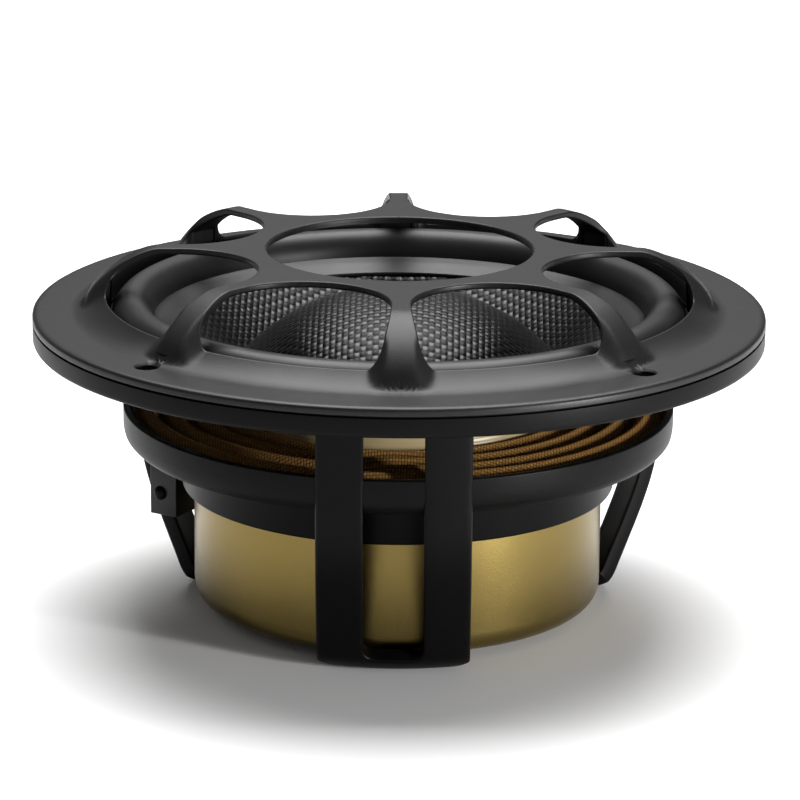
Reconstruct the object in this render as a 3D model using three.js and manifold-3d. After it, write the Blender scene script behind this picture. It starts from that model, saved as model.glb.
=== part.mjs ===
// A 6.5-inch class car midbass driver, standing on its motor with the cone facing up.
// A cast basket carries everything: a round flange, a ring that holds the spider, and three pairs
// of legs that run down round the motor to a small hub. The domed grille is one moulding with
// eight windows. Behind it are a rubber surround, a shallow woven cone and a large woven dust cap
// on a wide voice coil, which dips into a pot motor with the magnet inside it.
//
// Millimetres, +Z up. The origin is on the speaker's axis, on the surface that the driver stands on.

import * as THREE from 'three';
import { mergeVertices } from 'three/addons/utils/BufferGeometryUtils.js';
import Module from 'manifold-3d';

const wasm = await Module();
wasm.setup();

// ---------------------------------------------------------------------------------------------
// Driving dimensions
// ---------------------------------------------------------------------------------------------

// Clearances
const fit = 0.3;                // round a piece that drops into another
const seat = 0.1;               // glue line or seating gap between faces that rest on each other

// Flange and grille, from the rim inwards
const flangeRadius = 83.7;
const rimWidth = 11.7;          // flat rim outside the dome
const trimThickness = 1.9;      // the grille moulding's rim
const gasketThickness = 0.3;
const flangeThickness = 4.4;
const edgeRound = 1.2;          // under the flange
const rimRound = 1.6;           // on top of the grille's rim
const domeHeight = 13.9;
const domeWall = 1.5;
const domeShoulder = 17.0;      // from the dome's foot in to where its top turns flat
const domePower = 1.5;          // how square the dome's shoulder is; 2 would be an ellipse
const hoopBore = 30.4;          // radius of the round opening in the middle
const hoopWidth = 5.5;          // narrowest width of the hoop round that opening
const armCount = 8;
const armWidth = 4.4;           // narrowest
const armFlare = 3.6;           // how much wider each side of an arm gets towards its foot
const windowSill = 5.0;         // from the dome's foot in to the windows' outer edge
const sillHeight = 3.7;         // above the rim
const apronReach = 3.0;         // from the dome's foot out to where the low apron meets the rim
const windowTurn = 1.2;         // the windows are clocked by this many degrees from the bolt holes
const boltInset = 7.7;          // mounting holes, from the flange's edge
const boltHole = 2.5;
const boltCount = 4;

// Basket
const flangeOverhang = 20.4;    // flange edge to damper ring
const ringWall = 1.7;
const ringLedge = 4.2;          // width of the ledge under the spider's margin
const ringTaper = 2.1;          // how far the ring draws in below its wall
const ringTaperHeight = 2.8;
const floorThickness = 1.8;
const legProud = 0.3;           // legs stand out of the ring's face by this
const legThickness = 3.8;
const legWidth = 10.42;
const legPairs = 3;
const legOffset = 11.84;        // from a pair's centre line to the middle of one leg
const legCorner = 3.0;
const toeOut = 5.5;             // where the leg turns under, outside the cup
const toeIn = 2.1;              // where its underside turns flat, inside the cup's edge
const toeHeight = 4.7;
const webHeight = 3.6;          // the solid web that joins a pair at the bottom
const hubRadius = 27.0;
const hubBore = 12.0;
const baseThickness = 2.1;

// Heights, from the surface up
const cupHeight = 27.1;
const tierHeight = 10.7;        // cup rim to the underside of the damper ring
const ledgeHeight = 4.8;        // damper ring floor to spider ledge
const lipHeight = 1.7;          // spider ledge to the ring's top edge
const gapHeight = 15.4;         // open gap between the damper ring and the flange

// Motor
const tierInset = 13.5;         // damper ring face to the motor ring's wall
const cupInset = 2.7;           // motor ring's wall to the cup's
const cupWall = 7.1;
const cupFloor = 7.0;
const cupRound = 5.0;
const ventRadius = 7.0;
const plateThickness = 6.6;
const magnetInset = 3.9;
const tierWall = 2.6;
const tierFoot = 2.6;
const tierFlange = 1.4;

// Voice coil, cone, surround and spider
const coilClearance = 0.9;      // each side of the voice coil in the gap
const windingThickness = 0.8;
const windingHeight = 11.4;
const formerWall = 0.4;
const formerBelowGap = 2.6;     // how far the coil reaches below the pole plate
const coneWall = 0.7;
const coneDepth = 8.2;          // outer edge above neck
const capRise = 17.6;
const rollInset = 6.1;          // dome's foot to the roll's outer edge
const rollWidth = 9.7;
const clampWidth = 3.8;         // the flat rim of the surround, held under the grille
const rollHeight = 6.7;
const rubber = 1.0;
const lipWidth = 5.8;
const lipDrop = 2.2;
const spiderWall = 0.5;
const spiderRolls = 4;
const spiderDepth = 1.2;        // height of a corrugation above and below the middle

// Terminals
const boardWall = 1.4;
const boardHeight = 12.0;
const boardReach = 9.5;         // from the cup's side out to the board's outer edge
const boardDrop = 11.6;         // damper ring underside to the board's top edge
const bladeWidths = [5.5, 2.8]; // positive and negative
const bladeThickness = 0.8;
const bladeReach = 8.2;
const leadRadius = 0.8;

// Fasteners
const screwShank = 1.3;
const screwHead = 2.5;
const ringScrewCount = 6;
const cupScrewCount = 6;
const hubScrewCount = 3;
const hubScrewRadius = 20.0;

// How finely round shapes are divided
const roundSegments = 48;      // large rings; all the same, so that fitted pieces' facets line up
const innerSegments = 36;      // round pieces inside the motor and the moving parts
const smallSegments = 8;       // screws and drilled holes

// ---------------------------------------------------------------------------------------------
// Places worked out from them
// ---------------------------------------------------------------------------------------------

const cupBottom = baseThickness + fit;
const cupTop = cupBottom + cupHeight;
const tierBottom = cupTop + fit;
const ringBottom = tierBottom + tierHeight;
const floorTop = ringBottom + floorThickness;
const ledgeTop = floorTop + ledgeHeight;
const ringTop = ledgeTop + lipHeight;
const flangeBottom = ringTop + gapHeight;
const flangeFace = flangeBottom + flangeThickness;
const gasketBottom = flangeFace + seat;
const trimBottom = gasketBottom + gasketThickness + seat;
const rimTop = trimBottom + trimThickness;
const domeTop = rimTop + domeHeight;

const domeFoot = flangeRadius - rimWidth;
const boltRadius = flangeRadius - boltInset;
const ringRadius = flangeRadius - flangeOverhang;
const ledgeOuter = ringRadius - ringWall;
const ringBore = ledgeOuter - ringLedge;
const legRadius = ringRadius + legProud;
const tierRadius = ringRadius - tierInset;
const cupRadius = tierRadius - cupInset;
const cupBore = cupRadius - cupWall;
const windingRadius = cupBore - coilClearance;
const formerRadius = windingRadius - windingThickness - seat;
const plateRadius = formerRadius - formerWall - coilClearance;
const magnetRadius = plateRadius - magnetInset;

const rollOuter = domeFoot - rollInset;
const rollInner = rollOuter - rollWidth;
const lipInner = rollInner - lipWidth;
const coneNeck = formerRadius + fit;
const surroundBottom = flangeFace - seat - rubber;
const lipTop = surroundBottom + rubber + seat;

// ---------------------------------------------------------------------------------------------
// Helpers
// ---------------------------------------------------------------------------------------------

const point = (x, y) => new THREE.Vector2(x, y);

// Merges the vertices of a closed geometry, drops the flat triangles that a pole leaves, and turns
// the faces outwards.
function weld(geometry) {
  const bare = geometry.clone();
  bare.deleteAttribute('normal');
  bare.deleteAttribute('uv');
  const merged = mergeVertices(bare, 1e-4);
  const corners = merged.index.array;
  const triangles = [];
  for (let i = 0; i < corners.length; i += 3) {
    const [a, b, c] = [corners[i], corners[i + 1], corners[i + 2]];
    if (a !== b && b !== c && c !== a) triangles.push([a, b, c]);
  }
  const place = merged.getAttribute('position');
  const [p, q, r] = [new THREE.Vector3(), new THREE.Vector3(), new THREE.Vector3()];
  let volume = 0;
  for (const [a, b, c] of triangles) {
    p.fromBufferAttribute(place, a);
    q.fromBufferAttribute(place, b);
    r.fromBufferAttribute(place, c);
    volume += p.dot(q.cross(r));
  }
  const outward = volume > 0 ? triangles : triangles.map(([a, b, c]) => [a, c, b]);
  merged.setIndex(outward.flat());
  return merged;
}

function toSolid(geometry) {
  const welded = weld(geometry);
  return new wasm.Manifold(new wasm.Mesh({
    numProp: 3,
    vertProperties: new Float32Array(welded.getAttribute('position').array),
    triVerts: new Uint32Array(welded.index.array),
  }));
}

function toGeometry(solid) {
  const mesh = solid.getMesh();
  const geometry = new THREE.BufferGeometry();
  geometry.setAttribute('position', new THREE.BufferAttribute(mesh.vertProperties, 3));
  geometry.setIndex(new THREE.BufferAttribute(mesh.triVerts, 1));
  return geometry;
}

const cutAll = (body, tools) =>
  tools.reduce((left, tool) => left.subtract(toSolid(tool)), toSolid(body));

// A closed section of [radius, height] corners turned about the Z axis.
function turned(section, segments = roundSegments) {
  const corners = section.map(([r, z]) => point(r, z));
  if (section[0][0] > 0 || section.at(-1)[0] > 0) corners.push(corners[0].clone());
  return new THREE.LatheGeometry(corners, segments).rotateX(Math.PI / 2);
}

const tube = (inner, outer, bottom, top, segments) =>
  turned([[inner, bottom], [outer, bottom], [outer, top], [inner, top]], segments);

const disc = (radius, bottom, top, segments) =>
  turned([[0, bottom], [radius, bottom], [radius, top], [0, top]], segments);

// Points of a plane curve as [x, y] pairs.
const along = (curve, divisions) => curve.getPoints(divisions).map((p) => [p.x, p.y]);

const bezier = (...corners) => new THREE.CubicBezierCurve(...corners.map(([x, y]) => point(x, y)));

// Turns a geometry made at the front of the speaker (towards -Y) to an angle about the axis.
const toAngle = (geometry, degrees) => geometry.rotateZ(THREE.MathUtils.degToRad(degrees));

const pieces = new THREE.Group();

function add(name, geometry, colour, roughness, metalness) {
  const material = new THREE.MeshStandardMaterial({ color: colour, roughness, metalness });
  const mesh = new THREE.Mesh(weld(geometry), material);
  mesh.name = name;
  pieces.add(mesh);
  return mesh;
}

const blackCoat = [0x1c1c1d, 0.55, 0.1];
const blackSteel = [0x141415, 0.45, 0.6];
const gold = [0x9a8a4c, 0.38, 0.95];
const bareSteel = [0x8d8f92, 0.35, 0.95];
const rubberBlack = [0x161617, 0.6, 0.0];
const wovenBlack = [0x1a1b1d, 0.4, 0.1];
const brassTin = [0xb09a5c, 0.35, 0.95];

// ---------------------------------------------------------------------------------------------
// Grille
// ---------------------------------------------------------------------------------------------

// A quarter of a superellipse, from its flat top down to its foot.
function shoulder(centre, reach, height, bottom, divisions, power) {
  const points = [];
  for (let i = 0; i <= divisions; i += 1) {
    const turn = (i / divisions) * Math.PI / 2;
    const across = Math.pow(Math.sin(turn), 2 / power);
    const up = Math.pow(Math.cos(turn), 2 / power);
    points.push([centre + reach * across, bottom + height * up]);
  }
  return points;
}

// The dome before its windows are cut: only its hoop and arms stay.
function domeBlank() {
  const steps = 7;
  const start = domeFoot - domeShoulder;
  const outside = shoulder(start, domeShoulder + 0.5, domeHeight, rimTop, steps, domePower);
  const inReach = domeShoulder - domeWall - 0.6;
  const inside = shoulder(start - 0.9, inReach, domeHeight - domeWall, rimTop, steps, domePower);
  return turned([
    [hoopBore, domeTop - domeWall],
    [hoopBore, domeTop - 0.4],
    [hoopBore + 0.4, domeTop],
    ...outside,
    [inside.at(-1)[0], rimTop],
    ...inside.reverse().slice(1),
  ]);
}

// The flat rim, with a low apron that rises inwards to the windows' sill.
function rimBlank() {
  const sill = domeFoot - windowSill;
  const apronOuter = domeFoot + apronReach;
  const apron = along(new THREE.QuadraticBezierCurve(
    point(sill, rimTop + sillHeight),
    point(sill + (apronOuter - sill) * 0.5, rimTop + sillHeight * 0.15),
    point(apronOuter, rimTop)), 4);
  return turned([
    ...apron,
    [flangeRadius - rimRound, rimTop],
    [flangeRadius - rimRound * 0.3, rimTop - rimRound * 0.3],
    [flangeRadius, rimTop - rimRound],
    [flangeRadius, trimBottom],
    [sill, trimBottom],
  ]);
}

// What is cut from the dome for one window, in plan: a round inner end that touches both arms and
// leaves the hoop its width, then sides that follow the arms and spread towards the dome's foot.
function windowOutline() {
  const halfPitch = Math.PI / armCount;
  const halfArm = armWidth / 2;
  const inner = hoopBore + hoopWidth;
  const sill = domeFoot - windowSill;
  const reach = domeFoot + apronReach;
  const centre = (inner - halfArm) / (1 - Math.sin(halfPitch));
  const radius = centre - inner;
  // A point beside an arm: how far out along the arm, and how far from its centre line.
  const beside = (out, off) => point(
    out * Math.sin(halfPitch) - off * Math.cos(halfPitch),
    out * Math.cos(halfPitch) + off * Math.sin(halfPitch),
  );
  const bend = beside(sill - 4.0, halfArm);
  const sideEnd = beside(domeFoot, halfArm + armFlare);
  const endAngle = halfPitch - (halfArm + armFlare) / reach;
  const touch = point(radius * Math.cos(halfPitch), centre - radius * Math.sin(halfPitch));
  const outline = new THREE.Shape();
  outline.moveTo(-sideEnd.x, sideEnd.y);
  outline.quadraticCurveTo(-bend.x, bend.y, -touch.x, touch.y);
  outline.absarc(0, centre, radius, Math.PI + halfPitch, 2 * Math.PI - halfPitch, false);
  outline.quadraticCurveTo(bend.x, bend.y, sideEnd.x, sideEnd.y);
  outline.absarc(0, 0, reach, Math.PI / 2 - endAngle, Math.PI / 2 + endAngle, false);
  return outline;
}

function windowTool(index) {
  const outline = windowOutline();
  const tool = new THREE.ExtrudeGeometry(outline, {
    depth: domeHeight + trimThickness + 2,
    bevelEnabled: false,
    curveSegments: 5,
  });
  tool.rotateZ(Math.PI);
  tool.translate(0, 0, trimBottom - 1);
  return toAngle(tool, (index + 0.5) * 360 / armCount + windowTurn);
}

// Drills for the mounting holes, between two heights.
function boltDrills(bottom, top) {
  const drills = [];
  for (let i = 0; i < boltCount; i += 1) {
    const drill = disc(boltHole, bottom - 1, top + 1, smallSegments);
    drills.push(toAngle(drill.translate(0, -boltRadius, 0), (i + 0.5) * 360 / boltCount));
  }
  return drills;
}

function makeGrille() {
  const windows = Array.from({ length: armCount }, (_, i) => windowTool(i));
  const dome = cutAll(domeBlank(), windows);
  const rim = cutAll(rimBlank(), boltDrills(trimBottom, rimTop));
  add('grille', toGeometry(rim.add(dome)), ...blackCoat);
}

function makeTrimGasket() {
  const inner = domeFoot + 0.6;
  const outer = flangeRadius - 0.6;
  const ring = tube(inner, outer, gasketBottom, gasketBottom + gasketThickness);
  const solid = cutAll(ring, boltDrills(gasketBottom, trimBottom));
  add('trim_gasket', toGeometry(solid), ...rubberBlack);
}

// ---------------------------------------------------------------------------------------------
// Basket
// ---------------------------------------------------------------------------------------------

const flangeBore = ledgeOuter + fit; // the spider drops in through it
const ringScrewRadius = (tierRadius + ringBore) / 2;
const cupScrewRadius = (cupBore + cupRadius) / 2;

function flangeSection() {
  const recess = rollOuter + clampWidth + fit;
  return turned([
    [flangeBore, flangeBottom],
    [flangeRadius - edgeRound, flangeBottom],
    [flangeRadius, flangeBottom + edgeRound],
    [flangeRadius, flangeFace],
    [recess, flangeFace],
    [recess, surroundBottom - seat],
    [rollOuter + 0.5, surroundBottom - seat],
    [rollOuter + 0.5, flangeBottom + 2.0],
    [flangeBore, flangeBottom + 2.0],
  ]);
}

function ringSection() {
  return turned([
    [tierRadius + fit, ringBottom],
    [ringRadius - ringTaper, ringBottom],
    [ringRadius - ringTaper * 0.2, ringBottom + ringTaperHeight * 0.6],
    [ringRadius, ringBottom + ringTaperHeight],
    [ringRadius, ringTop],
    [ledgeOuter, ringTop],
    [ledgeOuter, ledgeTop],
    [ringBore, ledgeTop],
    [ringBore, floorTop],
    [tierRadius + fit, floorTop],
  ]);
}

const toe = cupRadius + toeOut;
const lean = 0.42; // of a leg just above its toe, outwards for each millimetre up

// The line of the legs' inside, from above the toe up to the damper ring.
function legInsideLine() {
  const start = [toe - legThickness * 0.92, toeHeight + legThickness * 0.4];
  const end = [legRadius - legThickness, ringBottom];
  return along(bezier(start, [start[0] + 12 * lean, start[1] + 12], [end[0], ringBottom * 0.66], end), 5);
}

// The legs' shape seen from the side, turned all the way round; the legs are cut out of it.
function legShell() {
  const heel = cupRadius - toeIn;
  const outside = [
    ...along(bezier([legRadius, ringBottom], [legRadius, ringBottom * 0.66],
      [toe + 12 * lean, toeHeight + 12], [toe, toeHeight]), 6),
    ...along(bezier([toe, toeHeight], [toe - 3 * lean, toeHeight - 3],
      [heel + 3.5, 0], [heel, 0]), 4).slice(1),
  ];
  const [inToe, inToeHeight] = legInsideLine()[0];
  const inside = [
    ...along(bezier([heel - 0.5, baseThickness], [heel + 2.0, baseThickness],
      [inToe - 2 * lean, inToeHeight - 2], [inToe, inToeHeight]), 3),
    ...legInsideLine().slice(1),
    [legRadius - legThickness, floorTop],
    [ledgeOuter, ledgeTop - 1.0],
  ];
  const top = flangeBottom + 1.0;
  return turned([
    [legRadius, top],
    ...outside,
    [hubRadius - 2, 0],
    [hubRadius - 2, baseThickness],
    ...inside,
    [ledgeOuter, top],
  ]);
}

// A rectangle with round lower corners, standing up in front of the speaker and reaching outwards.
function frontBlock(halfWidth, bottom, top, corner, near, far) {
  const outline = new THREE.Shape();
  outline.moveTo(-halfWidth, top);
  outline.lineTo(-halfWidth, bottom + corner);
  outline.absarc(-halfWidth + corner, bottom + corner, corner, Math.PI, 1.5 * Math.PI, false);
  outline.absarc(halfWidth - corner, bottom + corner, corner, 1.5 * Math.PI, 2 * Math.PI, false);
  outline.lineTo(halfWidth, top);
  outline.closePath();
  const block = new THREE.ExtrudeGeometry(outline, {
    depth: far - near,
    bevelEnabled: false,
    curveSegments: 3,
  });
  return block.rotateX(Math.PI / 2).translate(0, -near, 0);
}

const legAngle = (index) => index * 360 / legPairs;
const screwAngle = (index, count) => (index + 0.5) * 360 / count;

// A straight hole at a radius and an angle.
const drillAt = (radius, degrees, bore, bottom, top) =>
  toAngle(disc(bore, bottom, top, smallSegments).translate(0, -radius, 0), degrees);

function makeBasket() {
  const shell = toSolid(legShell());
  const beyond = legRadius + 5;
  const outerHalf = legOffset + legWidth / 2;
  const innerHalf = legOffset - legWidth / 2;
  let body = toSolid(flangeSection()).add(toSolid(ringSection()));
  body = body.add(toSolid(tube(hubBore, hubRadius, 0, baseThickness)));
  for (let i = 0; i < legPairs; i += 1) {
    const pair = frontBlock(outerHalf, 0, flangeBottom + 2, legCorner, hubBore + 4, beyond);
    const gap = frontBlock(innerHalf, webHeight, flangeBottom + 3, legCorner, hubRadius, beyond);
    const legs = shell.intersect(toSolid(toAngle(pair, legAngle(i))));
    body = body.add(legs.subtract(toSolid(toAngle(gap, legAngle(i)))));
  }
  const drills = boltDrills(flangeBottom, flangeFace);
  for (let i = 0; i < ringScrewCount; i += 1) {
    const angle = screwAngle(i, ringScrewCount);
    drills.push(drillAt(ringScrewRadius, angle, screwShank + fit, ringBottom - 1, floorTop + 1));
  }
  for (let i = 0; i < hubScrewCount; i += 1) {
    drills.push(countersink(hubScrewRadius, screwAngle(i, hubScrewCount), 0, 1));
  }
  drills.push(rivetDrill());
  for (const drill of drills) body = body.subtract(toSolid(drill));
  add('basket', toGeometry(body), ...blackCoat);
}

// ---------------------------------------------------------------------------------------------
// Motor
// ---------------------------------------------------------------------------------------------

function makeMotorRing() {
  const flangeTop = floorTop + seat + tierFlange;
  const reach = ringBore - fit * 2;
  const bore = cupBore + 0.6;
  let body = toSolid(turned([
    [bore, tierBottom],
    [tierRadius - 0.4, tierBottom],
    [tierRadius, tierBottom + 0.4],
    [tierRadius, floorTop + seat],
    [reach, floorTop + seat],
    [reach, flangeTop],
    [tierRadius - tierWall, flangeTop],
    [tierRadius - tierWall, tierBottom + tierFoot],
    [bore, tierBottom + tierFoot],
  ]));
  for (let i = 0; i < ringScrewCount; i += 1) {
    const angle = screwAngle(i, ringScrewCount);
    body = body.subtract(toSolid(countersink(ringScrewRadius, angle, flangeTop, -1)));
  }
  for (let i = 0; i < cupScrewCount; i += 1) {
    body = body.subtract(toSolid(drillAt(cupScrewRadius, screwAngle(i, cupScrewCount), screwShank + fit,
      tierBottom - 1, tierBottom + tierFoot + 1)));
  }
  add('motor_ring', toGeometry(body), ...blackSteel);
}

const cupScrewDepth = 6.0;
const hubScrewDepth = 4.5;

function makeMagnetCup() {
  const roundCorner = along(bezier(
    [cupRadius - cupRound, cupBottom],
    [cupRadius - cupRound * 0.45, cupBottom],
    [cupRadius, cupBottom + cupRound * 0.45],
    [cupRadius, cupBottom + cupRound]), 4);
  let body = toSolid(turned([
    [ventRadius, cupBottom],
    ...roundCorner,
    [cupRadius, cupTop - 0.4],
    [cupRadius - 0.4, cupTop],
    [cupBore, cupTop],
    [cupBore, cupBottom + cupFloor],
    [ventRadius, cupBottom + cupFloor],
  ]));
  for (let i = 0; i < cupScrewCount; i += 1) {
    body = body.subtract(toSolid(drillAt(cupScrewRadius, screwAngle(i, cupScrewCount), screwShank + fit,
      cupTop - cupScrewDepth - fit, cupTop + 1)));
  }
  for (let i = 0; i < hubScrewCount; i += 1) {
    body = body.subtract(toSolid(drillAt(hubScrewRadius, screwAngle(i, hubScrewCount), screwShank + fit,
      cupBottom - 1, cupBottom + hubScrewDepth + fit)));
  }
  add('magnet_cup', toGeometry(body), ...gold);
}

const plateBottom = cupTop - plateThickness;
const magnetBottom = cupBottom + cupFloor + seat;

function makeMotorInside() {
  const poleVent = ventRadius + 0.2;
  const magnet = tube(poleVent, magnetRadius, magnetBottom, plateBottom - seat, innerSegments);
  add('magnet', magnet, 0x55575a, 0.4, 0.9);
  add('pole_plate', tube(poleVent, plateRadius, plateBottom, cupTop, innerSegments), ...bareSteel);
  const ringInner = magnetRadius + fit;
  const ringOuter = plateRadius - 0.4;
  const ring = tube(ringInner, ringOuter, magnetBottom, plateBottom - fit, innerSegments);
  add('shorting_ring', ring, 0xb5653a, 0.3, 1.0);
}

// A round mesh of drilled holes that keeps dust out of the motor's vent.
function makeVentScreen() {
  const thickness = 0.6;
  const holeRadius = 0.9;
  const rows = [[0, 1], [3.6, 6]];
  const bottom = cupBottom + 0.6;
  let body = toSolid(disc(ventRadius - fit, bottom, bottom + thickness, 24));
  for (const [radius, count] of rows) {
    for (let i = 0; i < count; i += 1) {
      const hole = disc(holeRadius, bottom - 1, bottom + 2, 6).translate(0, -radius, 0);
      body = body.subtract(toSolid(toAngle(hole, i * 360 / count)));
    }
  }
  add('vent_screen', toGeometry(body), ...blackSteel);
}

// ---------------------------------------------------------------------------------------------
// Moving parts
// ---------------------------------------------------------------------------------------------

const lipWall = rubber * 0.85;
const coneEdge = lipTop - lipDrop - lipWall - seat;
const neckTop = coneEdge - coneDepth;

function makeCone() {
  const flange = rollInner - 0.6;
  const slope = lipDrop / lipWidth;
  const flangeTop = coneEdge + (flange - lipInner) * slope;
  add('cone', turned([
    [coneNeck, neckTop - coneWall],
    [lipInner, coneEdge - coneWall],
    [flange, flangeTop - coneWall],
    [flange, flangeTop],
    [lipInner, coneEdge],
    [coneNeck, neckTop],
  ], innerSegments), ...wovenBlack);
}

function makeDustCap() {
  const chord = formerRadius - 0.2;
  const bottom = neckTop + 0.3;
  const radius = (chord * chord + capRise * capRise) / (2 * capRise);
  const centre = bottom + capRise - radius;
  const steps = 5;
  const arc = (r) => {
    const start = Math.asin(Math.min(1, chord / radius));
    return Array.from({ length: steps + 1 }, (_, i) => {
      const angle = start * (1 - i / steps);
      return [r * Math.sin(angle), centre + r * Math.cos(angle)];
    });
  };
  const outside = arc(radius);
  const inside = arc(radius - coneWall);
  outside.at(-1)[0] = 0;
  inside.at(-1)[0] = 0;
  add('dust_cap', turned([...inside.reverse(), ...outside], innerSegments), ...wovenBlack);
}

const coilBottom = plateBottom - formerBelowGap;

function makeVoiceCoil() {
  const formerTop = neckTop - fit * 0.3;
  const formerInner = formerRadius - formerWall;
  const former = tube(formerInner, formerRadius, coilBottom - 0.6, formerTop, innerSegments);
  add('coil_former', former, 0xcdbb82, 0.45, 0.0);
  const inner = formerRadius + seat;
  const outer = inner + windingThickness;
  const coil = tube(inner, outer, coilBottom, coilBottom + windingHeight, innerSegments);
  add('voice_coil', coil, 0xb06a3c, 0.35, 0.9);
}

function makeSurround() {
  const clampOuter = rollOuter + clampWidth;
  const middle = (rollOuter + rollInner) / 2;
  const steps = 6;
  const roll = (reach, height) => Array.from({ length: steps + 1 }, (_, i) => {
    const angle = Math.PI * (i / steps);
    return [middle + reach * Math.cos(angle), surroundBottom + rubber * 0.5 + height * Math.sin(angle)];
  });
  const outside = roll(rollWidth / 2, rollHeight);
  const inside = roll(rollWidth / 2 - rubber, rollHeight - rubber);
  add('surround', turned([
    [clampOuter, surroundBottom],
    [clampOuter, surroundBottom + rubber],
    ...outside.map(([r, z], i) => (i === 0 ? [r, surroundBottom + rubber] : [r, z])).slice(0, -1),
    [rollInner, lipTop],
    [lipInner, lipTop - lipDrop],
    [lipInner, lipTop - lipDrop - lipWall],
    [rollInner, lipTop - lipWall],
    ...inside.reverse().slice(1, -1),
    [rollOuter - rubber, surroundBottom],
  ], innerSegments), ...rubberBlack);
}

function makeSpider() {
  const outer = ledgeOuter - fit;
  const inner = formerRadius + fit;
  const margin = ringBore; // flat and glued as far in as the ledge goes
  const middle = ledgeTop + seat + spiderWall / 2;
  const steps = spiderRolls * 2 + 1;
  const wave = (offset) => {
    const points = [];
    for (let i = 0; i <= steps; i += 1) {
      const across = i / steps;
      const flat = i === 0 || i === steps;
      const height = flat ? 0 : spiderDepth * (i % 2 === 0 ? 1 : -1);
      points.push([margin - (margin - inner) * across, middle + height + offset]);
    }
    return points;
  };
  const top = wave(spiderWall / 2);
  const bottom = wave(-spiderWall / 2).reverse();
  add('spider', turned([
    [outer, middle + spiderWall / 2],
    ...top,
    ...bottom,
    [outer, middle - spiderWall / 2],
  ], innerSegments), 0xa87c3a, 0.85, 0.0);
}

// ---------------------------------------------------------------------------------------------
// Terminals, on the leg nearest the front in the left-hand pair
// ---------------------------------------------------------------------------------------------

const boardPair = -360 / legPairs;
const boardTop = ringBottom - boardDrop;
const boardBottom = boardTop - boardHeight;
const legOuterSide = legOffset + legWidth / 2;
const legInnerSide = legOffset - legWidth / 2;
const boardFront = cupRadius + boardReach;
const rivetHeight = boardBottom + boardHeight * 0.45;

// How far the board reaches in, so that its web clears the inside of the leg it clips round. The leg
// is nearest at the board's bottom edge and at the leg's outer side, where its facets are flattest.
function clipDepth() {
  const line = legInsideLine();
  const above = Math.max(1, line.findIndex(([, z]) => z > boardBottom));
  const [low, high] = [line[above - 1], line[above]];
  const share = Math.max(0, (boardBottom - low[1]) / (high[1] - low[1]));
  const radius = (low[0] + (high[0] - low[0]) * share) * Math.cos(Math.PI / roundSegments) - fit;
  return boardFront - Math.sqrt(radius * radius - legOuterSide * legOuterSide) + boardWall;
}

const boardDepth = clipDepth();
const rivetInset = boardDepth * 0.4;

function rivetDrill() {
  const drill = disc(1.0 + fit, 0, 7, smallSegments).rotateY(Math.PI / 2);
  return toAngle(drill.translate(legOuterSide - 3.5, -boardFront + rivetInset, rivetHeight), boardPair);
}

// A U of board that clips round the leg from inside, so that it shows on both of the leg's sides.
function makeTerminalBoard() {
  const outer = legOuterSide + fit;
  const inner = legInnerSide - fit;
  const depth = boardDepth;
  const shape = new THREE.Shape();
  shape.moveTo(outer + boardWall, -boardFront);
  shape.lineTo(outer + boardWall, -boardFront + depth);
  shape.lineTo(inner - boardWall, -boardFront + depth);
  shape.lineTo(inner - boardWall, -boardFront);
  shape.lineTo(inner, -boardFront);
  shape.lineTo(inner, -boardFront + depth - boardWall);
  shape.lineTo(outer, -boardFront + depth - boardWall);
  shape.lineTo(outer, -boardFront);
  shape.closePath();
  const board = new THREE.ExtrudeGeometry(shape, { depth: boardHeight, bevelEnabled: false });
  let body = toSolid(toAngle(board.translate(0, 0, boardBottom), boardPair));
  body = body.subtract(toSolid(rivetDrill()));
  add('terminal_board', toGeometry(body), 0x202022, 0.5, 0.0);
}

function makeRivet() {
  const shank = 1.0;
  const head = 1.4;
  const headHeight = 1.0;
  const face = boardWall + fit + seat;
  const rivet = turned([
    [0, -3.0],
    [shank, -3.0],
    [shank, face],
    [head, face],
    [head * 0.7, face + headHeight * 0.75],
    [0, face + headHeight],
  ], smallSegments).rotateY(Math.PI / 2);
  const place = -boardFront + rivetInset;
  add('terminal_rivet', toAngle(rivet.translate(legOuterSide, place, rivetHeight), boardPair),
    ...blackSteel);
}

// An L of brass: a foot on the board and a blade that reaches across between the legs.
function bladeGeometry(width, height) {
  const footSide = legInnerSide - fit - boardWall - seat;
  const shape = new THREE.Shape();
  shape.moveTo(footSide, 0);
  shape.lineTo(footSide, 4.0);
  shape.lineTo(footSide - bladeThickness, 4.0);
  shape.lineTo(footSide - bladeThickness, bladeThickness);
  shape.lineTo(footSide - bladeReach, bladeThickness);
  shape.lineTo(footSide - bladeReach, 0);
  shape.closePath();
  const blade = new THREE.ExtrudeGeometry(shape, { depth: width, bevelEnabled: false });
  blade.rotateX(Math.PI / 2);
  return blade.translate(0, -boardFront + (boardDepth + width) / 2, height);
}

const bladeHeights = [boardBottom + 7.0, boardBottom + 1.0];

function makeBlades() {
  ['terminal_positive', 'terminal_negative'].forEach((name, i) => {
    add(name, toAngle(bladeGeometry(bladeWidths[i], bladeHeights[i]), boardPair), ...brassTin);
  });
}

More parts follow.
